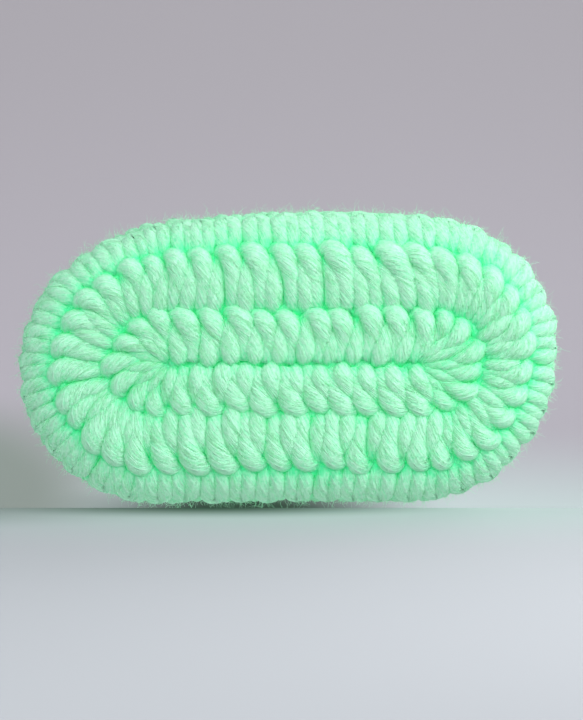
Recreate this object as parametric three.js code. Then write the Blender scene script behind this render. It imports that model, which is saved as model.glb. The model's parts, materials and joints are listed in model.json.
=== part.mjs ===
// A baby bootie crocheted in rounds from chunky yarn.
// Millimetres, +Z up, toe along -Y, sole on z = 0, origin under the middle of the sole.
import * as THREE from 'three';
import { mergeVertices } from 'three/addons/utils/BufferGeometryUtils.js';

// Driving dimensions.
const LENGTH = 100; // over the widest round, heel to toe
const WIDTH = 54; // over the widest round
const FABRIC = 4.6; // thickness of the crocheted fabric
const GAP = 0.3; // kept between neighbouring rounds
const CHAIN_LENGTH = 46; // foundation chain in the middle of the sole
const CHAIN_WIDTH = 3;

// Heights of the boundaries between rounds.
const EDGE_TOP = 9; // the edge round turns from the sole up to here
const COURSE = 6; // height of one short round
const FOOT_TOP = EDGE_TOP + 2 * COURSE; // the toe starts to close here
const ANKLE = 45; // the ankle rounds start here
const CUFF = ANKLE + 2 * COURSE - 1; // the cuff starts here
const EDGING = 9; // the cuff's two rounds and its edging take the last of the height
const SCALLOPS = 14; // around the cuff's edging
const SCALLOP_DEPTH = 1.1;

// Facets.
const STEPS = 48; // around each round
const SCALLOP_STEPS = 6; // around each scallop
const SIDES = 8; // of each round's cross-section
const CORNER = 0.9; // below 1 squares the cross-section's corners

const YARN = { color: 0x98eebd, roughness: 0.95, metalness: 0 };

/** A closed outline: an oval whose toe and heel reach the given y, at a height for each end. */
function loop(halfWidth, toe, heel, square, zToe, zHeel = zToe) {
  return { halfWidth, toe, heel, square, zToe, zHeel };
}

const HALF = WIDTH / 2;
const END = LENGTH / 2;
const OVAL = 2.8; // squareness of the sole's outline
const ROUND = 2.25; // squareness of the ankle's outline

// Boundaries between rounds on the bootie's outside, from the chain out and then up.
const SOLE_LOOPS = [
  loop(CHAIN_WIDTH / 2 + 0.6, -24.5, 24.5, 8, 0),
  loop(10.8, -35.6, 35.6, 3.2, 0),
  loop(21.8, -45.4, 45.4, OVAL, 0),
];
const EDGE_LOOPS = [
  loop(21.8, -45.4, 45.4, OVAL, 0),
  loop(HALF - 1.6, -END + 1.4, END - 1.4, OVAL, 1.9),
  loop(HALF, -END, END, OVAL, EDGE_TOP),
];
const UPPER_LOOPS = [
  loop(HALF, -END, END, OVAL, EDGE_TOP),
  loop(HALF, -END, END, OVAL, EDGE_TOP + COURSE),
  loop(HALF - 0.6, -END + 3, END - 0.6, OVAL, FOOT_TOP),
  loop(HALF - 1.5, -END + 11, END - 1.6, 2.7, FOOT_TOP + 8, FOOT_TOP + COURSE),
  loop(HALF - 2.4, -27, END - 2.6, 2.5, FOOT_TOP + 14, FOOT_TOP + 2 * COURSE),
  loop(HALF - 3.4, -13.5, END - 3.4, 2.35, FOOT_TOP + 19, FOOT_TOP + 3 * COURSE),
  loop(HALF - 4, -8.5, END - 3.8, ROUND, ANKLE),
  loop(HALF - 4.2, -7.6, END - 4.2, ROUND, ANKLE + COURSE - 0.5),
  loop(HALF - 4, -7.9, END - 4, ROUND, CUFF),
  loop(HALF - 3.4, -8.6, END - 3.5, ROUND, CUFF + EDGING / 2),
  loop(HALF - 2.7, -9.4, END - 2.9, ROUND, CUFF + EDGING),
  loop(HALF - 2.2, -10, END - 2.4, ROUND, CUFF + EDGING + 4),
];
const UPPER_NAMES = [
  'wall_round_1', 'wall_round_2', 'toe_round_1', 'toe_round_2', 'toe_round_3',
  'ankle_round_1', 'ankle_round_2', 'cuff_round_1', 'cuff_round_2', 'cuff_edging',
];

/** x kept in sign and raised to a power. */
function signedPower(x, power) {
  return Math.sign(x) * Math.abs(x) ** power;
}

/** The point of a loop at a share of the way around, from +X towards the heel. */
function around(outline, share) {
  const angle = 2 * Math.PI * share;
  const power = 2 / outline.square;
  const middle = (outline.toe + outline.heel) / 2;
  const reach = (outline.heel - outline.toe) / 2;
  const along = signedPower(Math.sin(angle), power);
  return new THREE.Vector3(
    outline.halfWidth * signedPower(Math.cos(angle), power),
    middle + reach * along,
    THREE.MathUtils.lerp(outline.zToe, outline.zHeel, (1 + along) / 2),
  );
}

/** The fabric's outward direction at one loop of a family, mitred between the rounds beside it. */
function outward(loops, level, share) {
  const small = 1e-3;
  const low = around(loops[Math.max(level - 1, 0)], share);
  const high = around(loops[Math.min(level + 1, loops.length - 1)], share);
  const tangent = around(loops[level], share + small).sub(around(loops[level], share - small));
  return tangent.cross(high.sub(low)).normalize();
}

/** A ring whose points follow place(share around, place along the section, place through it). */
function ring(place, steps) {
  const geometry = new THREE.TorusGeometry(2, 1, SIDES, steps);
  const { position, uv } = geometry.attributes;
  const corner = Math.cos(Math.PI / SIDES);
  for (let i = 0; i < position.count; i += 1) {
    const share = (Math.round(uv.getX(i) * steps) % steps) / steps;
    const side = Math.round(uv.getY(i) * SIDES) % SIDES;
    const turn = (2 * Math.PI * (side + 0.5)) / SIDES;
    const along = (1 + signedPower(Math.cos(turn) / corner, CORNER)) / 2;
    const through = (1 + signedPower(Math.sin(turn) / corner, CORNER)) / 2;
    const point = place(share, along, through);
    position.setXYZ(i, point.x, point.y, point.z);
  }
  geometry.deleteAttribute('uv');
  geometry.deleteAttribute('normal');
  const closed = mergeVertices(geometry, 1e-5);
  closed.computeVertexNormals();
  return closed;
}

/** Trims a place along a band so that the band ends half a gap inside both of its loops. */
function trimmed(low, high, along) {
  const inset = GAP / 2 / low.distanceTo(high);
  return THREE.MathUtils.lerp(inset, 1 - inset, along);
}

/** A flat round of the sole, between two loops that lie on the ground. */
function soleRound(inner, outer) {
  return ring((share, along, through) => {
    const low = around(inner, share);
    const high = around(outer, share);
    const point = low.clone().lerp(high, trimmed(low, high, along));
    return point.setZ(FABRIC * through);
  }, STEPS);
}

/** A round of the wall or the cuff, between loops of the upper; rise lifts its top edge. */
function upperRound(level, steps = STEPS, rise = () => 0) {
  return ring((share, along, through) => {
    const low = around(UPPER_LOOPS[level], share);
    const high = around(UPPER_LOOPS[level + 1], share);
    const depth = -FABRIC * through;
    const t = trimmed(low, high, along);
    low.addScaledVector(outward(UPPER_LOOPS, level, share), depth);
    high.addScaledVector(outward(UPPER_LOOPS, level + 1, share), depth);
    high.z += rise(share);
    return low.lerp(high, t);
  }, steps);
}

/** The round that turns from the sole up into the wall, curved through its middle loop. */
function edgeRound() {
  const [start, bend, end] = EDGE_LOOPS;
  return ring((share, along, through) => {
    const under = around(start, share);
    const top = around(end, share);
    const wall = outward(UPPER_LOOPS, 0, share).multiplyScalar(-FABRIC * through);
    const t = trimmed(under, top, along);
    const outside = under.clone().multiplyScalar((1 - t) ** 2)
      .addScaledVector(around(bend, share), 2 * t * (1 - t))
      .addScaledVector(top, t ** 2);
    const inside = new THREE.Vector3(0, 0, FABRIC * through).multiplyScalar(1 - t);
    return outside.add(inside).addScaledVector(wall, t);
  }, STEPS);
}

/** The bar of chain stitches in the middle of the sole. */
function foundationChain() {
  const radius = CHAIN_WIDTH / 2;
  const straight = CHAIN_LENGTH / 2 - radius;
  const shape = new THREE.Shape();
  shape.absarc(0, straight, radius, 0, Math.PI);
  shape.absarc(0, -straight, radius, Math.PI, 2 * Math.PI);
  return new THREE.ExtrudeGeometry(shape, { depth: FABRIC, bevelEnabled: false, curveSegments: 8 });
}

/** A named mesh in yarn. */
function piece(name, geometry) {
  const mesh = new THREE.Mesh(geometry, new THREE.MeshStandardMaterial(YARN));
  mesh.name = name;
  return mesh;
}

/** The sole: its chain, its two flat rounds and the round that turns up. */
function sole() {
  const group = new THREE.Group();
  group.add(
    piece('foundation_chain', foundationChain()),
    piece('sole_round_1', soleRound(SOLE_LOOPS[0], SOLE_LOOPS[1])),
    piece('sole_round_2', soleRound(SOLE_LOOPS[1], SOLE_LOOPS[2])),
    piece('sole_edge_round', edgeRound()),
  );
  return group;
}

/** How far the edging's top edge rises at a share of the way around. */
function scallop(share) {
  return SCALLOP_DEPTH * Math.cos(2 * Math.PI * SCALLOPS * share);
}

/** The wall, toe, ankle and cuff, one round on another. */
function upper() {
  const group = new THREE.Group();
  UPPER_NAMES.forEach((name, level) => {
    const edging = name === 'cuff_edging';
    const steps = edging ? SCALLOPS * SCALLOP_STEPS : STEPS;
    group.add(piece(name, upperRound(level, steps, edging ? scallop : undefined)));
  });
  return group;
}

const bootie = new THREE.Group();
bootie.add(sole(), upper());
export default bootie;
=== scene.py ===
"""A baby bootie crocheted in rounds from chunky mint yarn, built stitch by stitch from swept strands."""

import json
import logging
import math
import random
from collections.abc import Iterator
from dataclasses import dataclass, field
from enum import Enum

import bmesh
import bpy
import numpy as np
from mathutils import Matrix, Vector

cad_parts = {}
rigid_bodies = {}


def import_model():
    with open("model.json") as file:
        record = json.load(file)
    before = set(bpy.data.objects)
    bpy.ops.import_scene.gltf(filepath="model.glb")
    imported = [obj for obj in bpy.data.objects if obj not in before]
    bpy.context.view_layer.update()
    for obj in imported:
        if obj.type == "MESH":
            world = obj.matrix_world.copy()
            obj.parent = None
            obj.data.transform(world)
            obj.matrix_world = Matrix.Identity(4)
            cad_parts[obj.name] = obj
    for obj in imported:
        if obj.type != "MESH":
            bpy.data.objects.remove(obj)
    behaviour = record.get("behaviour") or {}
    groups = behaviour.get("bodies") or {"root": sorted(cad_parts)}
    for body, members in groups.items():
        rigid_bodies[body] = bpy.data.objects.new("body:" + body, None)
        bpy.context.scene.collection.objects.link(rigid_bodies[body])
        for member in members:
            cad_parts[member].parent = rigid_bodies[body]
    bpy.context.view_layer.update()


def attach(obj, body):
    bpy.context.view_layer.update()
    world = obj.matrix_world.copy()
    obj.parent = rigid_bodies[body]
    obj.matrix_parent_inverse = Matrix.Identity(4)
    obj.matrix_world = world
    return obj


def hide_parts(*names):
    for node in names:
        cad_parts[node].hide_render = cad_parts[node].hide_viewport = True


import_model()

MM = 0.001
log = logging.getLogger("bootie")


@dataclass(frozen=True)
class Loop:
    """A closed outline in the middle of the fabric: two straight sides and two round ends, in millimetres.

    A ray runs from 0 to 4 around it: the +X side, the heel's arc, the -X side and the toe's arc.
    """

    radius: float
    toe: float
    heel: float
    z_toe: float
    z_heel: float
    aside: float = 0.0

    def lengths(self) -> tuple[float, float, float, float]:
        """Lengths of the four stretches that a ray runs along."""
        side = max(self.heel - self.toe, 1e-6)
        return side, math.pi * self.radius, side, math.pi * self.radius

    def ray(self, share: float) -> float:
        """The ray at a share of the whole length.

        Args:
            share: how far around, from 0 to 1; it may run past either end.

        Returns:
            The ray, which may run below 0 or past 4 in the same way.
        """
        lengths = self.lengths()
        turns = math.floor(share)
        left = (share - turns) * sum(lengths)
        for index, length in enumerate(lengths):
            if left <= length or index == 3:
                return 4 * turns + index + left / length
            left -= length
        return 4.0 * turns

    def point(self, ray: float) -> Vector:
        """The point of this outline on a ray."""
        stretch, t = divmod(ray % 4, 1)
        turn = math.pi * t
        if stretch == 0:
            x, y = self.radius, self.toe + t * (self.heel - self.toe)
        elif stretch == 1:
            x, y = self.radius * math.cos(turn), self.heel + self.radius * math.sin(turn)
        elif stretch == 2:
            x, y = -self.radius, self.heel + t * (self.toe - self.heel)
        else:
            x, y = -self.radius * math.cos(turn), self.toe - self.radius * math.sin(turn)
        low, high = self.toe - self.radius, self.heel + self.radius
        share = (y - low) / (high - low)
        return Vector((x + self.aside, y, self.z_toe + share * (self.z_heel - self.z_toe)))


SCALLOPS = 14  # around the cuff's edge
SOLE_Z = 3.1  # the middle of the sole's fabric
LOOPS = (
    Loop(0.9, -23.0, 22.6, SOLE_Z, SOLE_Z, 0.7),
    Loop(9.9, -26.0, 24.2, SOLE_Z, SOLE_Z, 0.1),
    Loop(20.6, -23.2, 22.9, SOLE_Z + 0.2, SOLE_Z + 0.2, -0.6),
    Loop(24.0, -22.0, 23.0, 8.8, 8.8),
    Loop(24.4, -22.2, 22.9, 15.0, 15.0),
    Loop(24.0, -20.4, 22.8, 21.0, 21.0),
    Loop(23.2, -14.0, 22.7, 27.6, 27.0),
    Loop(22.3, -3.4, 22.6, 33.4, 33.0),
    Loop(21.3, 9.4, 22.8, 38.8, 39.0),
    Loop(20.7, 14.3, 23.0, 45.0, 45.0),
    Loop(20.5, 15.2, 22.9, 50.5, 50.5),
    Loop(20.7, 15.1, 22.9, 56.0, 56.0),
    Loop(21.3, 15.0, 22.8, 60.6, 60.6),
    Loop(22.0, 14.9, 22.7, 65.0, 65.0),
)


@dataclass(frozen=True)
class Dent:
    """A place on the sole's outline that the hand pressed in (below 0) or let out (above 0).

    Attributes:
        angle: where it is, in degrees from the toe towards -X.
        spread: how wide it is, in degrees.
        amount: its depth, as a share of the radius.
    """

    angle: float
    spread: float
    amount: float

    def at(self, angle: float) -> float:
        """The change of radius, as a share, at an angle in degrees."""
        away = (angle - self.angle + 180) % 360 - 180
        return self.amount * math.exp(-((away / self.spread) ** 2))


@dataclass(frozen=True)
class Fabric:
    """The curved sheet that the stitches lie in, through all the loops.

    Attributes:
        loops: the outlines that it runs through, from the chain to the cuff's edge.
        dents: what makes its outline uneven.
        reach: how far from the middle a dent is at its full depth, in millimetres.
        fade_low: the height where the dents start to fade.
        fade_high: the height where they are gone.
    """

    loops: tuple[Loop, ...] = LOOPS
    dents: tuple[Dent, ...] = (
        Dent(137, 24, -0.105),
        Dent(205, 32, 0.035),
        Dent(22, 16, 0.02),
        Dent(45, 14, -0.03),
    )
    reach: float = 40.0
    fade_low: float = 18.0
    fade_high: float = 48.0

    def _shaped(self, point: Vector) -> Vector:
        """A point with the outline's dents, which fade out inwards and up the foot."""
        angle = math.degrees(math.atan2(-point.x, -point.y))
        change = sum(dent.at(angle) for dent in self.dents)
        away = min(math.hypot(point.x, point.y) / self.reach, 1.0) ** 2
        rise = (point.z - self.fade_low) / (self.fade_high - self.fade_low)
        scale = 1 + change * away * (1 - min(max(rise, 0.0), 1.0))
        return Vector((point.x * scale, point.y * scale, point.z))

    def point(self, ray: float, level: float) -> Vector:
        """A point of the sheet.

        Args:
            ray: where around, as on a loop.
            level: which loop, with a fraction between two of them.

        Returns:
            The point, in millimetres, on a smooth curve through the loops.
        """
        last = len(self.loops) - 1
        index = min(max(math.floor(level), 0), last - 1)
        t = level - index
        p0, p1, p2, p3 = (self.loops[min(max(index + k, 0), last)].point(ray) for k in (-1, 0, 1, 2))
        if t < 0 or t > 1:
            found = p1.lerp(p2, t)
        else:
            found = 0.5 * (
                2 * p1
                + (p2 - p0) * t
                + (2 * p0 - 5 * p1 + 4 * p2 - p3) * t**2
                + (3 * p1 - p0 - 3 * p2 + p3) * t**3
            )
        return self._shaped(found)

    def normal(self, ray: float, level: float) -> Vector:
        """The direction out of the bootie at a point of the sheet."""
        step = 0.02
        across = self.point(ray + step, level) - self.point(ray - step, level)
        up = self.point(ray, level + step) - self.point(ray, level - step)
        return across.cross(up).normalized()


@dataclass(frozen=True)
class Knot:
    """One point of a strand in its stitch: across in stitch widths, up from 0 to 1, out in millimetres."""

    across: float
    up: float
    out: float
    radius: float


def knots(*rows: tuple[float, float, float, float]) -> tuple[Knot, ...]:
    """Knots from rows of across, up, out and radius."""
    return tuple(Knot(*row) for row in rows)


class Stitch(Enum):
    """How one stitch's strands lie: each is a path of knots."""

    TALL = (
        knots(
            (-0.50, 0.80, -1.0, 1.6),
            (-0.40, 0.89, -0.2, 1.8),
            (-0.22, 0.90, 0.4, 2.1),
            (0.0, 0.81, 0.9, 2.35),
            (0.14, 0.67, 1.0, 2.35),
            (0.23, 0.51, 0.85, 2.15),
            (0.26, 0.33, 0.75, 2.05),
            (0.25, 0.14, 0.75, 2.1),
            (0.23, -0.08, -0.5, 1.5),
        ),
        knots(
            (0.05, 0.82, -1.4, 1.6),
            (-0.22, 0.78, -0.9, 1.6),
            (-0.36, 0.69, 0.2, 1.7),
            (-0.31, 0.54, 0.8, 1.9),
            (-0.25, 0.37, 1.0, 2.1),
            (-0.24, 0.19, 0.95, 2.15),
            (-0.23, 0.02, 0.6, 2.0),
            (-0.21, -0.10, -0.6, 1.4),
        ),
    )
    CROSSED = (
        knots(
            (-0.50, 0.80, -1.0, 1.5),
            (-0.40, 0.89, -0.2, 1.75),
            (-0.21, 0.90, 0.4, 2.05),
            (0.01, 0.81, 0.9, 2.3),
            (0.16, 0.68, 0.95, 2.3),
            (0.26, 0.52, 0.6, 2.15),
            (0.29, 0.36, 0.35, 2.05),
            (0.28, 0.18, 0.3, 2.0),
            (0.25, 0.0, 0.0, 1.9),
        ),
        knots(
            (0.02, 0.86, -1.4, 1.6),
            (-0.22, 0.82, -1.0, 1.6),
            (-0.35, 0.73, 0.1, 1.6),
            (-0.29, 0.57, 0.8, 1.9),
            (-0.22, 0.39, 1.0, 2.15),
            (-0.20, 0.21, 1.0, 2.25),
            (-0.19, 0.04, 0.6, 2.1),
            (-0.18, -0.08, -0.5, 1.5),
        ),
    )
    ARCH = (
        knots(
            (-0.14, -0.10, -0.4, 1.5),
            (-0.21, 0.10, 0.6, 1.8),
            (-0.28, 0.32, 1.2, 2.0),
            (-0.26, 0.56, 1.6, 2.15),
            (0.0, 0.74, 1.7, 2.2),
            (0.26, 0.58, 1.6, 2.1),
            (0.29, 0.34, 1.2, 2.0),
            (0.22, 0.12, 0.6, 1.8),
            (0.15, -0.10, -0.4, 1.5),
        ),
        knots(
            (-0.60, 0.98, -0.9, 1.5),
            (-0.35, 0.92, 0.3, 1.7),
            (0.0, 0.98, 0.7, 1.8),
            (0.35, 1.04, 0.3, 1.7),
            (0.60, 0.98, -0.9, 1.5),
        ),
    )
    SHORT = (
        knots(
            (0.0, -0.18, -0.6, 1.3),
            (-0.06, 0.06, 0.6, 1.6),
            (-0.17, 0.33, 1.1, 1.8),
            (-0.25, 0.64, 1.15, 1.85),
            (-0.29, 0.92, 0.6, 1.7),
            (-0.32, 1.10, -0.4, 1.4),
        ),
        knots(
            (0.05, -0.15, -0.8, 1.3),
            (0.12, 0.08, 0.4, 1.6),
            (0.20, 0.36, 0.95, 1.75),
            (0.26, 0.66, 1.05, 1.8),
            (0.33, 0.93, 0.5, 1.65),
            (0.38, 1.12, -0.6, 1.4),
        ),
        knots(
            (-0.55, 0.35, -1.0, 1.5),
            (-0.25, 0.62, -1.1, 1.6),
            (0.05, 0.66, -1.2, 1.6),
            (0.30, 0.5, -1.1, 1.6),
            (0.58, 0.35, -0.9, 1.5),
        ),
    )


@dataclass(frozen=True)
class Yarn:
    """Plied yarn: its section, its twist and how finely it is made.

    Attributes:
        plies: how many plies it has.
        lobe: how far a ply stands out, as a share of the radius.
        sides: how many sides its section has.
        ply_turn: the length over which the plies turn once, in millimetres.
        smoothness: steps between two knots of a strand.
    """

    plies: int = 4
    lobe: float = 0.035
    sides: int = 12
    ply_turn: float = 15.5
    smoothness: int = 3

    def section(self) -> bpy.types.Object:
        """A closed outline of one millimetre's radius with a lobe for each ply."""
        curve = bpy.data.curves.new("yarn_section", "CURVE")
        curve.dimensions = "2D"
        spline = curve.splines.new("POLY")
        spline.points.add(self.sides - 1)
        for index, point in enumerate(spline.points):
            turn = -2 * math.pi * index / self.sides
            reach = MM * (1 + self.lobe * math.cos(self.plies * turn))
            point.co = (reach * math.cos(turn), reach * math.sin(turn), 0, 1)
        spline.use_cyclic_u = True
        section = bpy.data.objects.new("yarn_section", curve)
        bpy.context.scene.collection.objects.link(section)
        return section


@dataclass(frozen=True)
class Fluff:
    """Fibres of the brushed yarn: some lie along its plies and some stand off it.

    A strand has this many of each kind before its round's own shares. Lengths are in millimetres.
    """

    laid: int = 40
    laid_step: tuple[float, float] = (0.8, 1.4)
    laid_joints: int = 4
    laid_thickness: float = 0.04
    laid_spread: float = 0.95
    laid_rise: float = 0.03
    loose: int = 26
    loose_length: tuple[float, float] = (1.0, 3.8)
    loose_joints: int = 4
    loose_thickness: float = 0.03
    loose_taper: float = 0.2
    loose_spread: float = 0.8
    loose_curl: float = 0.6
    loose_root: float = 0.9

    def section(self) -> bpy.types.Object:
        """A three-sided outline of one millimetre's radius."""
        return Yarn(plies=1, lobe=0.0, sides=3).section()


Path = list[tuple[Vector, float]]


def spot(path: Path, where: float) -> tuple[Vector, float]:
    """The place and radius at a point of a smooth strand.

    Args:
        path: the strand's knots.
        where: from 0 to the number of knots less 3.

    Returns:
        The point of the strand's middle line and the strand's radius there.
    """
    index = min(int(where), len(path) - 4)
    t = where - index
    weights = ((1 - t) ** 3 / 6, (3 * t**3 - 6 * t**2 + 4) / 6, (3 * t * (1 + t - t**2) + 1) / 6, t**3 / 6)
    four = path[index : index + 4]
    place = sum((share * knot[0] for share, knot in zip(weights, four, strict=True)), Vector((0, 0, 0)))
    return place, sum(share * knot[1] for share, knot in zip(weights, four, strict=True))


class Bundle:
    """Strands that are swept with one section and become one mesh."""

    def __init__(self, name: str, section: bpy.types.Object, kind: str, smoothness: int = 1) -> None:
        """Starts an empty curve.

        Args:
            name: the name of the curve and its mesh.
            section: the outline to sweep.
            kind: NURBS for smooth strands or POLY for fibres.
            smoothness: steps between two points of a smooth strand.
        """
        self.curve = bpy.data.curves.new(name, "CURVE")
        self.curve.dimensions = "3D"
        self.curve.resolution_u = smoothness
        self.curve.bevel_mode = "OBJECT"
        self.curve.bevel_object = section
        self.curve.use_fill_caps = True
        self.curve.twist_mode = "MINIMUM"
        self.kind = kind
        self.length = 0.0

    def add(self, path: Path, turn: float = 0.0, cyclic: bool = False) -> None:
        """Adds a strand.

        Args:
            path: its points and radii, in millimetres.
            turn: the length over which its plies turn once, or 0.
            cyclic: whether it closes on itself.
        """
        spline = self.curve.splines.new(self.kind)
        spline.points.add(len(path) - 1)
        along = 0.0
        for index, (point, (place, radius)) in enumerate(zip(spline.points, path, strict=True)):
            if index:
                along += (place - path[index - 1][0]).length
            point.co = (*(place * MM), 1)
            point.radius = radius
            point.tilt = -2 * math.pi * along / turn if turn else 0.0
        if self.kind == "NURBS":
            spline.order_u = 4
            spline.use_endpoint_u = not cyclic
        spline.use_cyclic_u = cyclic
        self.length = along

    def into(self, target: bmesh.types.BMesh) -> None:
        """Adds the strands' mesh to a bmesh, with its UV's x in about millimetres along each strand."""
        holder = bpy.data.objects.new("holder", self.curve)
        bpy.context.scene.collection.objects.link(holder)
        graph = bpy.context.evaluated_depsgraph_get()
        made = bpy.data.meshes.new_from_object(holder.evaluated_get(graph))
        for corner in made.uv_layers[0].uv:
            corner.vector = (corner.vector.x * self.length, corner.vector.y)
        made.polygons.foreach_set("use_smooth", [self.kind == "NURBS"] * len(made.polygons))
        hair = made.attributes.new("hair", "FLOAT", "POINT")
        hair.data.foreach_set("value", [float(self.kind == "POLY")] * len(made.vertices))
        target.from_mesh(made)
        bpy.data.objects.remove(holder)
        bpy.data.meshes.remove(made)
        bpy.data.curves.remove(self.curve)


@dataclass(frozen=True)
class Round:
    """One round of stitches between two loops of the fabric.

    Attributes:
        node: the CAD node that it stands for.
        level: the lower of its two loops.
        stitches: how many there are.
        kind: what they look like.
        start: where the first one is, in stitches.
        lean: how far their tops lie ahead of their feet, in stitches.
        laid: its share of laid fibres.
        loose: its share of loose fibres.
        scallop: how far the scallops lift its top, in levels.
    """

    node: str
    level: int
    stitches: int
    kind: Stitch
    start: float = 0.0
    lean: float = 0.0
    laid: float = 0.35
    loose: float = 0.5
    scallop: float = 0.0


ROUNDS = (
    Round("sole_round_1", 0, 33, Stitch.CROSSED, 0.3, 0.16, 1.3, 0.6),
    Round("sole_round_2", 1, 44, Stitch.TALL, 0.1, 0.1, 1.2, 0.5),
    Round("sole_edge_round", 2, 48, Stitch.ARCH, 0.2, 0.0, 0.8, 1.8),
    Round("wall_round_1", 3, 48, Stitch.SHORT, 0.6, 0.0, 0.35, 1.6),
    Round("wall_round_2", 4, 48, Stitch.SHORT, 0.1),
    Round("toe_round_1", 5, 44, Stitch.TALL, 0.4),
    Round("toe_round_2", 6, 38, Stitch.TALL, 0.0),
    Round("toe_round_3", 7, 32, Stitch.TALL, 0.5),
    Round("ankle_round_1", 8, 28, Stitch.SHORT, 0.2),
    Round("ankle_round_2", 9, 28, Stitch.SHORT, 0.7),
    Round("cuff_round_1", 10, 28, Stitch.SHORT, 0.1),
    Round("cuff_round_2", 11, 28, Stitch.SHORT, 0.5),
    Round("cuff_edging", 12, 28, Stitch.SHORT, 0.0, scallop=0.3),
)


@dataclass
class Crochet:
    """Works rounds of stitches on the fabric and dresses them.

    Attributes:
        fabric: the sheet that they lie in.
        yarn: what the strands are made of.
        fluff: its fibres.
        loose: how uneven the hand is, in stitches.
        pitch: the room that a stitch's yarn needs to lie at its full thickness, in millimetres.
        crowded: how thick it lies with no room at all, from 0 to 1.
        low: the height below which a tall stitch is worked as a short one, in millimetres.
        waves: points of a backing ring for each stitch.
        swing: how far a backing ring weaves in and out, in millimetres.
        weave: how far it weaves up and down, in levels.
        backing: the rings behind a round, as rows of up in levels, and out and radius in millimetres.
        faced: how many of a stitch's strands face outwards and carry fibres.
        chance: the fixed run of random numbers.
    """

    fabric: Fabric = field(default_factory=Fabric)
    yarn: Yarn = field(default_factory=Yarn)
    fluff: Fluff = field(default_factory=Fluff)
    loose: float = 0.065
    pitch: float = 5.0
    crowded: float = 0.3
    low: float = 7.4
    waves: int = 4
    swing: float = 0.3
    weave: float = 0.04
    faced: int = 2
    backing: tuple[tuple[float, float, float], ...] = (
        (0.98, -0.4, 1.5),
        (0.78, -0.7, 1.7),
        (0.55, -0.7, 1.8),
        (0.30, -0.7, 1.8),
        (0.08, -0.7, 1.6),
    )
    chance: random.Random = field(default_factory=lambda: random.Random(7))

    def __post_init__(self) -> None:
        """Makes the sections that every round shares."""
        self.yarn_section = self.yarn.section()
        self.backing_section = Yarn(sides=8).section()
        self.fluff_section = self.fluff.section()

    def place(self, ray: float, level: float, out: float) -> Vector:
        """A point at a distance out of the fabric's middle."""
        return self.fabric.point(ray, level) + out * self.fabric.normal(ray, level)

    def strand(self, work: Round, share: float, path: tuple[Knot, ...]) -> Path:
        """One strand of one stitch, laid on the fabric with a hand's unevenness."""
        top = self.fabric.loops[work.level + 1]
        sway = self.chance.gauss(0, self.loose)
        lift = self.chance.gauss(0, self.loose * 0.5)
        proud = self.chance.gauss(0, self.loose * 2)
        full = 1 + self.chance.gauss(0, self.loose * 0.6)
        found = []
        for knot in path:
            slack = self.chance.gauss(0, self.loose * 0.3)
            across = knot.across + sway + work.lean * (knot.up - 0.5) + slack
            ray = top.ray(share + across / work.stitches)
            level = work.level + knot.up + lift + max(knot.up, 0.0) * self.rise(work, share)
            thick = knot.radius * full * self.fullness(work, share, level)
            found.append((self.place(ray, level, knot.out + proud), thick))
        return found

    def stitch(self, work: Round, share: float) -> Stitch:
        """The stitch at a place: a tall one shrinks to a short one where the round is low."""
        ray = self.fabric.loops[work.level + 1].ray(share)
        height = (self.fabric.point(ray, work.level + 1) - self.fabric.point(ray, work.level)).length
        return Stitch.SHORT if work.kind is Stitch.TALL and height < self.low else work.kind

    @staticmethod
    def rise(work: Round, share: float) -> float:
        """How far a scalloped edge lifts the top of its round, in levels."""
        return work.scallop * math.cos(2 * math.pi * SCALLOPS * share)

    def fullness(self, work: Round, share: float, level: float) -> float:
        """How thick the yarn lies, from 0 to 1, where the stitches crowd together as in a fan."""
        top = self.fabric.loops[work.level + 1]
        half = 0.5 / work.stitches
        before, after = (self.fabric.point(top.ray(share + side), level) for side in (-half, half))
        room = (after - before).length
        return self.crowded + (1 - self.crowded) * min(room / self.pitch, 1.0)

    def ring(self, work: Round, up: float, out: float, radius: float) -> Path:
        """A strand that runs all the way round behind the stitches."""
        level = work.level + up
        steps = work.stitches * self.waves
        loop = self.fabric.loops[min(round(level), len(self.fabric.loops) - 1)]
        found = []
        for index in range(steps):
            ray = loop.ray(index / steps)
            wave = math.sin(2 * math.pi * index / self.waves)
            lift = self.weave * wave + up * self.rise(work, index / steps)
            found.append((self.place(ray, level + lift, out + self.swing * wave), radius))
        return found

    def fibres(self, bundle: Bundle, path: Path, out: Vector, work: Round) -> None:
        """Adds the fibres of one strand to a bundle.

        Args:
            bundle: where they go.
            path: the strand's knots.
            out: the way out of the fabric, where the fibres show.
            work: the round, which says how many there are.
        """
        last = len(path) - 3 - 1e-6
        for _ in range(round(self.fluff.laid * work.laid)):
            fibre = self.laid_fibre(path, out, last)
            if len(fibre) > 2:
                bundle.add(fibre)
        for _ in range(round(self.fluff.loose * work.loose)):
            bundle.add(self.loose_fibre(path, out, last))

    def laid_fibre(self, path: Path, out: Vector, last: float) -> Path:
        """One fibre that lies on a strand and turns with its plies, up to the strand's last place."""
        chance, fluff = self.chance, self.fluff
        where, turn = chance.uniform(0, last), chance.gauss(0, fluff.laid_spread)
        step = chance.uniform(*fluff.laid_step)
        near, shortest = 0.1, 0.3
        fibre = []
        for _ in range(fluff.laid_joints):
            place, radius = spot(path, where)
            ahead, behind = spot(path, min(where + near, last))[0], spot(path, max(where - near, 0))[0]
            axis = (ahead - behind).normalized()
            side = axis.cross(out).normalized()
            way = side.cross(axis) * math.cos(turn) + side * math.sin(turn)
            rise = chance.gauss(0.0, fluff.laid_rise)
            fibre.append((place + way * (radius + rise), fluff.laid_thickness))
            here = (path[min(int(where) + 2, len(path) - 1)][0] - path[int(where) + 1][0]).length
            where += step / max(here, shortest)
            turn -= 2 * math.pi * step / self.yarn.ply_turn * chance.uniform(0.8, 1.25)
            if where > last:
                break
        return fibre

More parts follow.
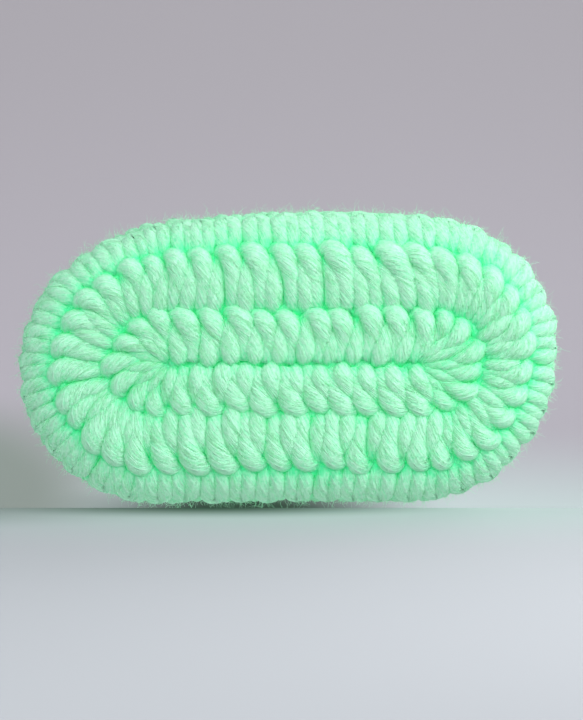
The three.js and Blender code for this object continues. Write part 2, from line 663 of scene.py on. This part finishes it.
    def loose_fibre(self, path: Path, out: Vector, last: float) -> Path:
        """One fibre that stands off a strand and curls."""
        chance, fluff = self.chance, self.fluff
        place, radius = spot(path, chance.uniform(0, last))
        way = (out + self.stray(fluff.loose_spread)).normalized()
        here = place + way * radius * fluff.loose_root
        length = chance.uniform(*fluff.loose_length) * chance.random() ** 0.7
        fibre = []
        for joint in range(fluff.loose_joints):
            fibre.append((here.copy(), fluff.loose_thickness * (1 - fluff.loose_taper * joint)))
            way = (way + self.stray(fluff.loose_curl)).normalized()
            here = here + way * length / (fluff.loose_joints - 1)
        return fibre

    def stray(self, spread: float) -> Vector:
        """A random way, with this spread along each axis."""
        return Vector([self.chance.gauss(0, spread) for _ in range(3)])

    def work(self, work: Round) -> bpy.types.Object:
        """Makes one round as one piece."""
        strands = Bundle(work.node, self.yarn_section, "NURBS", self.yarn.smoothness)
        fuzz = Bundle(work.node, self.fluff_section, "POLY")
        for index in range(work.stitches):
            share = (index + work.start) / work.stitches
            out = self.fabric.normal(self.fabric.loops[work.level + 1].ray(share), work.level + 0.5)
            for number, path in enumerate(self.stitch(work, share).value):
                laid = self.strand(work, share, path)
                strands.add(laid, self.yarn.ply_turn)
                if number < self.faced:
                    self.fibres(fuzz, laid, out, work)
        backing = Bundle(work.node, self.backing_section, "NURBS", 1)
        for up, out, radius in self.backing:
            backing.add(self.ring(work, up, out, radius), cyclic=True)
        return self.piece(work.node, work.level, (strands, backing, fuzz))

    def chain(self, node: str) -> bpy.types.Object:
        """Makes the foundation chain: two strands that cross along the middle of the sole."""
        loop = self.fabric.loops[0]
        strands = Bundle(node, self.yarn_section, "NURBS", self.yarn.smoothness)
        fuzz = Bundle(node, self.fluff_section, "POLY")
        links, steps = 9, 6
        sway, lift, middle, radius = 0.8, 0.7, SOLE_Z + 0.5, 1.1
        for phase in (0, math.pi):
            path = []
            for index in range(links * steps + 1):
                t = index / (links * steps)
                wave = math.pi * links * t + phase
                y = loop.toe + t * (loop.heel - loop.toe)
                x = loop.aside + sway * math.sin(wave)
                path.append((Vector((x, y, middle - lift * math.cos(wave))), radius))
            strands.add(path, self.yarn.ply_turn)
            self.fibres(fuzz, path, Vector((0, 0, -1)), ROUNDS[0])
        return self.piece(node, 0, (strands, fuzz))

    def mark_crests(self, mesh: bpy.types.Mesh, level: int) -> None:
        """Stores each point's distance from the fabric's middle, in millimetres, as the crest attribute.

        The last round's distance counts along the fabric too, so that its rim isn't taken for a fold.

        Args:
            mesh: the round's mesh, in metres.
            level: the lower of its two loops.
        """
        steps, batch = 96, 20000
        rim = level == len(self.fabric.loops) - 2
        grid = [(4 * (k + 0.5) / steps, level + up) for k in range(steps) for up in (0.1, 0.5, 0.9)]
        middles = np.array([self.fabric.point(*place) for place in grid])
        ways = np.array([self.fabric.normal(*place) for place in grid])
        points = np.empty(len(mesh.vertices) * 3, dtype=np.float32)
        mesh.vertices.foreach_get("co", points)
        points = points.reshape(-1, 3) / MM
        crests = np.empty(len(points), dtype=np.float32)
        for first in range(0, len(points), batch):
            some = points[first : first + batch]
            near = ((some[:, None, :] - middles[None, :, :]) ** 2).sum(axis=2).argmin(axis=1)
            away = some - middles[near]
            found = np.linalg.norm(away, axis=1) if rim else np.abs((away * ways[near]).sum(axis=1))
            crests[first : first + batch] = found
        # The crest sets where the yarn's material paints its fold shade.
        mesh.attributes.new("crest", "FLOAT", "POINT").data.foreach_set("value", crests)

    def piece(self, node: str, level: int, bundles: tuple[Bundle, ...]) -> bpy.types.Object:
        """Joins bundles into one closed mesh that stands for a CAD node."""
        mesh = bpy.data.meshes.new(f"{node}_yarn")
        shape = bmesh.new()
        for bundle in bundles:
            bundle.into(shape)
        bmesh.ops.remove_doubles(shape, verts=shape.verts, dist=1e-7)
        shape.to_mesh(mesh)
        shape.free()
        self.mark_crests(mesh, level)
        made = bpy.data.objects.new(f"{node}_yarn", mesh)
        bpy.context.scene.collection.objects.link(made)
        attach(made, "root")
        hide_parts(node)
        log.info("%s: %d faces", made.name, len(mesh.polygons))
        return made

    def clear(self) -> None:
        """Removes the sections once every round is made."""
        for section in (self.yarn_section, self.backing_section, self.fluff_section):
            bpy.data.objects.remove(section)


Colour = tuple[float, float, float, float]


class Sockets:
    """A socket of a node tree that Python's operators build Math nodes on."""

    def __init__(self, tree: bpy.types.NodeTree, socket: bpy.types.NodeSocket) -> None:
        """Wraps one output socket."""
        self.tree = tree
        self.socket = socket

    def _math(self, operation: str, *values: "Sockets | float") -> "Sockets":
        """A Math node on these values."""
        node = self.tree.nodes.new("ShaderNodeMath")
        node.operation = operation
        for slot, value in zip(node.inputs, values, strict=False):
            if isinstance(value, Sockets):
                self.tree.links.new(value.socket, slot)
            else:
                slot.default_value = value
        return Sockets(self.tree, node.outputs[0])

    def __add__(self, other: "Sockets | float") -> "Sockets":
        """Sum."""
        return self._math("ADD", self, other)

    def __sub__(self, other: "Sockets | float") -> "Sockets":
        """Difference."""
        return self._math("SUBTRACT", self, other)

    def __rsub__(self, other: float) -> "Sockets":
        """Difference from a number."""
        return self._math("SUBTRACT", other, self)

    def __mul__(self, other: "Sockets | float") -> "Sockets":
        """Product."""
        return self._math("MULTIPLY", self, other)

    def sine(self) -> "Sockets":
        """Sine, in radians."""
        return self._math("SINE", self)

    def cosine(self) -> "Sockets":
        """Cosine, in radians."""
        return self._math("COSINE", self)


class Shader:
    """A material's node tree, with one method that adds any node."""

    def __init__(self, name: str) -> None:
        """Starts an empty material."""
        self.material = bpy.data.materials.new(name)
        self.material.use_nodes = True
        self.tree = self.material.node_tree
        self.tree.nodes.clear()

    def node(self, kind: str, settings: dict | None = None, **values: object) -> bpy.types.Node:
        """Adds a node.

        Args:
            kind: its type, without the leading ShaderNode.
            settings: properties to set first.
            values: its sockets by name, with spaces as underscores: a number, a colour or a link.

        Returns:
            The node.
        """
        node = self.tree.nodes.new(f"ShaderNode{kind}")
        for key, value in (settings or {}).items():
            setattr(node, key, value)
        for key, value in values.items():
            slot = node.inputs[key.replace("_", " ")]
            if isinstance(value, Sockets):
                self.tree.links.new(value.socket, slot)
            elif isinstance(value, bpy.types.NodeSocket):
                self.tree.links.new(value, slot)
            else:
                slot.default_value = value
        return node

    def value(self, socket: bpy.types.NodeSocket) -> Sockets:
        """A socket that takes part in expressions."""
        return Sockets(self.tree, socket)

    def mix(self, share: Sockets | float, low: object, high: object) -> bpy.types.NodeSocket:
        """A blend of two colours."""
        node = self.tree.nodes.new("ShaderNodeMix")
        node.data_type = "RGBA"
        for slot, value in ((node.inputs[0], share), (node.inputs[6], low), (node.inputs[7], high)):
            if isinstance(value, Sockets):
                self.tree.links.new(value.socket, slot)
            elif isinstance(value, bpy.types.NodeSocket):
                self.tree.links.new(value, slot)
            else:
                slot.default_value = value
        return node.outputs[2]

    def surface(self, shader: bpy.types.NodeSocket) -> bpy.types.Material:
        """Ends the tree in this shader and returns the material."""
        output = self.tree.nodes.new("ShaderNodeOutputMaterial")
        self.tree.links.new(shader, output.inputs["Surface"])
        return self.material


@dataclass(frozen=True)
class YarnFinish:
    """Brushed acrylic yarn: a mint with a painted shade, a deeper green, in its folds, with fine fibres
    laid along the plies.

    Attributes:
        light: its colour on the crests.
        deep: the painted shade of its folds, a deeper green that stands in for shade and light bounced
            inside the yarn.
        pale: its loose fibres' colour, paler than the yarn as painted light against their shaded sides.
        painted_glow: painted light that the yarn gives off in its folds, standing in for light scattered
            through it.
        dark: no light.
        fold: how far out of the fabric the painted shade of a fold ends and a crest begins, in millimetres.
        rough: its roughness.
        sheen: its sheen.
        stretch: how much slower its streaks change along a strand than around it.
        hair_painted_light: how far its fibres are painted paler, a painted lightening, from 0 to 1.
        hair_through: the share of light that passes through its fibres.
    """

    light: Colour = (0.46, 0.92, 0.64, 1)
    deep: Colour = (0.10, 0.84, 0.37, 1)
    pale: Colour = (0.60, 0.95, 0.74, 1)
    painted_glow: Colour = (0.0, 0.15, 0.055, 1)
    dark: Colour = (0.0, 0.0, 0.0, 1)
    fold: tuple[float, float] = (0.5, 2.8)
    rough: float = 0.95
    sheen: float = 0.1
    stretch: float = 0.07
    hair_painted_light: float = 0.6
    hair_through: float = 0.45

    def make(self) -> bpy.types.Material:
        """The yarn's material."""
        shader = Shader("mint_yarn")
        place = shader.node("TexCoord").outputs["Object"]
        around = shader.node("SeparateXYZ", Vector=shader.node("UVMap").outputs["UV"])
        along = shader.value(around.outputs["X"]) * self.stretch
        turn = shader.value(around.outputs["Y"]) * (2 * math.pi)
        lie = shader.node("CombineXYZ", X=turn.cosine(), Y=turn.sine(), Z=along).outputs["Vector"]
        streaks = shader.node("TexNoise", Vector=lie, Scale=7.0, Detail=2.0, Roughness=0.6)
        fibre = shader.value(streaks.outputs["Fac"])
        drift = shader.value(shader.node("TexNoise", Vector=place, Scale=1500.0, Detail=2.0).outputs["Fac"])
        blotch = shader.value(shader.node("TexNoise", Vector=place, Scale=260.0, Detail=3.0).outputs["Fac"])
        crest = shader.node("Attribute", {"attribute_name": "crest"}).outputs["Fac"]
        raised = shader.node("MapRange", {"interpolation_type": "SMOOTHSTEP"}, Value=crest)
        raised.inputs["From Min"].default_value, raised.inputs["From Max"].default_value = self.fold
        open_air = shader.value(raised.outputs["Result"])
        # The yarn's own random streaks and blotches of tone, with a painted shade: deeper green where the
        # crest is low, in the folds.
        share = (fibre - 0.5) * 2.0 + (blotch - 0.5) * 0.6 + (drift - 0.5) * 1.6
        colour = shader.mix(share * 0.7 + open_air * 0.9, self.deep, self.light)
        hair = shader.value(shader.node("Attribute", {"attribute_name": "hair"}).outputs["Fac"])
        # Fibres are painted paler, a painted lightening against their shaded sides.
        colour = shader.mix(hair * self.hair_painted_light, colour, self.pale)
        height = (fibre * 1.8 + drift * 0.6) * (1 - hair)
        bump = shader.node("Bump", Strength=0.8, Distance=0.0003, Height=height)
        main = shader.node(
            "BsdfPrincipled",
            Base_Color=colour,
            Roughness=self.rough,
            Sheen_Weight=self.sheen,
            Sheen_Roughness=0.5,
            Specular_IOR_Level=0.1,
            # Emission paints light into the folds and none on the crests.
            Emission_Color=shader.mix(open_air, self.painted_glow, self.dark),
            Emission_Strength=1.0,
            Normal=bump.outputs["Normal"],
        )
        through = shader.node("BsdfTranslucent", Color=self.pale)
        blend = shader.node("MixShader", Fac=hair * self.hair_through)
        shader.tree.links.new(main.outputs["BSDF"], blend.inputs[1])
        shader.tree.links.new(through.outputs["BSDF"], blend.inputs[2])
        return shader.surface(blend.outputs["Shader"])


@dataclass(frozen=True)
class Shade:
    """A soft oval patch where a paper is painted towards a colour: the papers' painted shadows and painted
    light.
    """

    middle: tuple[float, float, float]
    reach: tuple[float, float, float]
    colour: Colour
    strength: float = 1.0
    core: float = 0.0


@dataclass(frozen=True)
class SheetFinish:
    """Plain matt paper that is seen from its front only."""

    near: Colour
    far: Colour
    start: float = 0.0
    end: float = 1.0
    shades: tuple[Shade, ...] = ()

    def make(self, name: str) -> bpy.types.Material:
        """The paper's material, which goes from near to far along the sheet's own x."""
        shader = Shader(name)
        place = shader.node("TexCoord").outputs["Object"]
        x = shader.node("SeparateXYZ", Vector=place).outputs["X"]
        share = shader.node("MapRange", {"interpolation_type": "SMOOTHSTEP"}, Value=x)
        share.inputs["From Min"].default_value = self.start
        share.inputs["From Max"].default_value = self.end
        grain = shader.node("TexNoise", Vector=place, Scale=40.0, Detail=2.0)
        blend = shader.value(share.outputs["Result"]) + (shader.value(grain.outputs["Fac"]) - 0.5) * 0.04
        colour = shader.mix(blend, self.near, self.far)
        # Each shade paints its patch of shadow or light over the paper.
        for shade in self.shades:
            colour = shader.mix(self._within(shader, place, shade), colour, shade.colour)
        paper = shader.node("BsdfDiffuse", Color=colour)
        clear = shader.node("BsdfTransparent")
        behind = shader.node("NewGeometry").outputs["Backfacing"]
        mixed = shader.node("MixShader", Fac=behind)
        shader.tree.links.new(paper.outputs["BSDF"], mixed.inputs[1])
        shader.tree.links.new(clear.outputs["BSDF"], mixed.inputs[2])
        return shader.surface(mixed.outputs["Shader"])

    @staticmethod
    def _within(shader: Shader, place: bpy.types.NodeSocket, shade: Shade) -> bpy.types.NodeSocket:
        """How far a point lies inside a shade, from 0 at its rim."""
        away = shader.tree.nodes.new("ShaderNodeVectorMath")
        away.operation = "SUBTRACT"
        shader.tree.links.new(place, away.inputs[0])
        away.inputs[1].default_value = shade.middle
        scaled = shader.tree.nodes.new("ShaderNodeVectorMath")
        scaled.operation = "DIVIDE"
        shader.tree.links.new(away.outputs[0], scaled.inputs[0])
        scaled.inputs[1].default_value = shade.reach
        length = shader.tree.nodes.new("ShaderNodeVectorMath")
        length.operation = "LENGTH"
        shader.tree.links.new(scaled.outputs[0], length.inputs[0])
        share = shader.node("MapRange", {"interpolation_type": "SMOOTHSTEP"}, Value=length.outputs["Value"])
        share.inputs["From Min"].default_value = shade.core
        share.inputs["To Min"].default_value = shade.strength
        share.inputs["To Max"].default_value = 0.0
        return share.outputs["Result"]


@dataclass(frozen=True)
class Lamp:
    """A soft square light aimed at the bootie."""

    name: str
    way: tuple[float, float, float]
    power: float
    size: float
    distance: float = 0.7

    def light(self, target: Vector) -> None:
        """Hangs the light."""
        data = bpy.data.lights.new(self.name, "AREA")
        data.energy, data.size = self.power, self.size
        lamp = bpy.data.objects.new(self.name, data)
        way = Vector(self.way).normalized()
        lamp.location = target + way * self.distance
        lamp.rotation_euler = way.to_track_quat("Z", "Y").to_euler()
        lamp.visible_camera = False
        bpy.context.scene.collection.objects.link(lamp)


@dataclass(frozen=True)
class Studio:
    """The camera under the sole, the papers and the lights."""

    distance: float = 0.6
    tilt: float = 4.0
    shown_height: float = 0.1333
    target: tuple[float, float, float] = (0.0, 0.0, 0.004)
    floor_x: float = 0.0270
    ground_z: float = -0.0006
    wide: float = 0.6
    pale: Colour = (0.43, 0.45, 0.475, 1)
    # The colour of the painted shadows on the papers.
    dark: Colour = (0.02, 0.06, 0.03, 1)
    sensor: float = 36.0

    def camera(self) -> None:
        """Looks up at the sole, from a little towards -X, with the toe to the right."""
        data = bpy.data.cameras.new("camera")
        data.sensor_width = self.sensor
        data.lens = self.sensor * self.distance / self.shown_height
        camera = bpy.data.objects.new("camera", data)
        tilt = math.radians(self.tilt)
        back = Vector((-math.sin(tilt), 0, -math.cos(tilt)))
        place = Vector(self.target) + back * self.distance
        up = Vector((-math.cos(tilt), 0, math.sin(tilt)))
        axes = Matrix((up.cross(back), up, back)).transposed().to_4x4()
        camera.matrix_world = Matrix.Translation(place) @ axes
        bpy.context.scene.collection.objects.link(camera)
        bpy.context.scene.camera = camera

    def sheet(self, name: str, corners: list[tuple[float, float, float]], finish: SheetFinish) -> None:
        """A paper that the camera alone sees."""
        mesh = bpy.data.meshes.new(name)
        shape = bmesh.new()
        shape.faces.new([shape.verts.new(corner) for corner in corners])
        shape.to_mesh(mesh)
        shape.free()
        paper = bpy.data.objects.new(name, mesh)
        bpy.context.scene.collection.objects.link(paper)
        mesh.materials.append(finish.make(name))
        paper.visible_diffuse = paper.visible_glossy = False
        paper.visible_shadow = paper.visible_transmission = False

    def papers(self) -> None:
        """The floor under the standing bootie, the one it lies on and the backdrop beyond it."""
        self._ground()
        self._side_floor()
        self._backdrop()

    def _ground(self) -> None:
        """A pale floor, painted brighter far away up to the sky's tone, as painted light where the lamps'
        light falls away.
        """
        far, z = 3.0, self.ground_z
        bright = (0.93, 0.95, 0.97, 1)
        # Painted light: pale near the bootie and painted brighter further off.
        middle = Shade((0.0, 0.0, 0.0), (1.4, 1.4, 1.0), self.pale, 1.0, 0.1)
        corners = [(-far, -far, z), (far, -far, z), (far, far, z), (-far, far, z)]
        self.sheet("ground", corners, SheetFinish(bright, bright, shades=(middle,)))

    def _side_floor(self) -> None:
        """The floor beside the lying bootie, below the ground, with a painted contact shadow, a painted
        shadow to the left and a painted green bounce near the bootie.
        """
        x, wide, deep, z = self.floor_x, self.wide, -0.5, self.ground_z
        painted_bounce_tint, painted_shadow_tone = (0.42, 0.505, 0.50, 1), (0.25, 0.29, 0.28, 1)
        # Painted green bounce light from the yarn on the floor near the bootie.
        near = Shade((x, 0.0, 0.0), (0.05, 0.14, 0.065), painted_bounce_tint, 0.9)
        # Painted shadow of the bootie on the floor to its left.
        left = Shade((x, 0.085, 0.004), (0.05, 0.075, 0.045), painted_shadow_tone, 0.95, 0.25)
        # Painted contact shadow right under the bootie.
        contact = Shade((x, 0.014, 0.003), (0.01, 0.05, 0.022), self.dark, 0.95, 0.1)
        corners = [(x, -wide, z), (x, wide, z), (x, wide, deep), (x, -wide, deep)]
        self.sheet("side_floor", corners, SheetFinish(self.pale, self.pale, shades=(near, left, contact)))

    def _backdrop(self) -> None:
        """The paper beyond the lying bootie, lighter towards the bottom, with painted shadow to the low
        left and below the bootie and painted light to the low right.
        """
        z, wide, low, high = 0.34, self.wide, 0.2, -0.4
        upper_grey, lower_grey = (0.50, 0.47, 0.505, 1), (0.58, 0.545, 0.60, 1)
        # Painted light, brighter and greener, on the backdrop to the low right of the bootie.
        painted_light_low_right = Shade((0.085, -0.02, z), (0.045, 0.30, 0.1), (0.74, 0.86, 0.85, 1), 1.0, 0.3)
        # Painted shadow of the bootie to the low left.
        painted_shadow_low_left = Shade((0.062, 0.10, z), (0.032, 0.06, 0.1), (0.35, 0.40, 0.365, 1), 1.0, 0.4)
        # Painted contact shadow below the bootie, seen between its edge bumps.
        below = Shade((0.068, 0.014, z), (0.013, 0.064, 0.1), self.dark, 0.95, 0.2)
        finish = SheetFinish(upper_grey, lower_grey, -0.09, 0.045, (painted_light_low_right, painted_shadow_low_left, below))
        corners = [(high, -wide, z), (high, wide, z), (low, wide, z), (low, -wide, z)]
        self.sheet("backdrop", corners, finish)

    def lights(self) -> None:
        """Soft lights on the sole's side and on the upper's side, and an even sky."""
        middle = Vector(self.target)
        for lamp in (
            Lamp("sole_key", (-0.55, -0.8, -0.55), 0.58, 0.26, 0.25),
            Lamp("sole_fill", (-0.5, 0.2, -0.8), 0.62, 0.3, 0.42),
            Lamp("upper_key", (-0.3, -0.6, 1.0), 2.7, 0.4),
            Lamp("upper_fill", (0.9, 0.2, 0.6), 1.5, 0.5),
        ):
            lamp.light(middle)
        world = bpy.data.worlds.new("sky")
        world.use_nodes = True
        sky = world.node_tree.nodes["Background"]
        sky.inputs["Color"].default_value = (0.95, 0.97, 1.0, 1)
        sky.inputs["Strength"].default_value = 0.6
        bpy.context.scene.world = world
        bpy.context.scene.view_settings.view_transform = "Standard"


def shown() -> Iterator[bpy.types.Object]:
    """The pieces that stand for the CAD nodes."""
    return (item for item in bpy.context.scene.objects if item.name.endswith("_yarn"))


def main() -> None:
    """Builds the bootie in order, dresses it and sets the studio."""
    logging.basicConfig(level=logging.INFO, format="%(message)s")
    crochet = Crochet()
    crochet.chain("foundation_chain")
    for work in ROUNDS:
        crochet.work(work)
    crochet.clear()
    yarn = YarnFinish().make()
    for piece in shown():
        piece.data.materials.append(yarn)
    studio = Studio()
    studio.camera()
    studio.papers()
    studio.lights()
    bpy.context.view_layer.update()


if __name__ == "__main__":
    main()
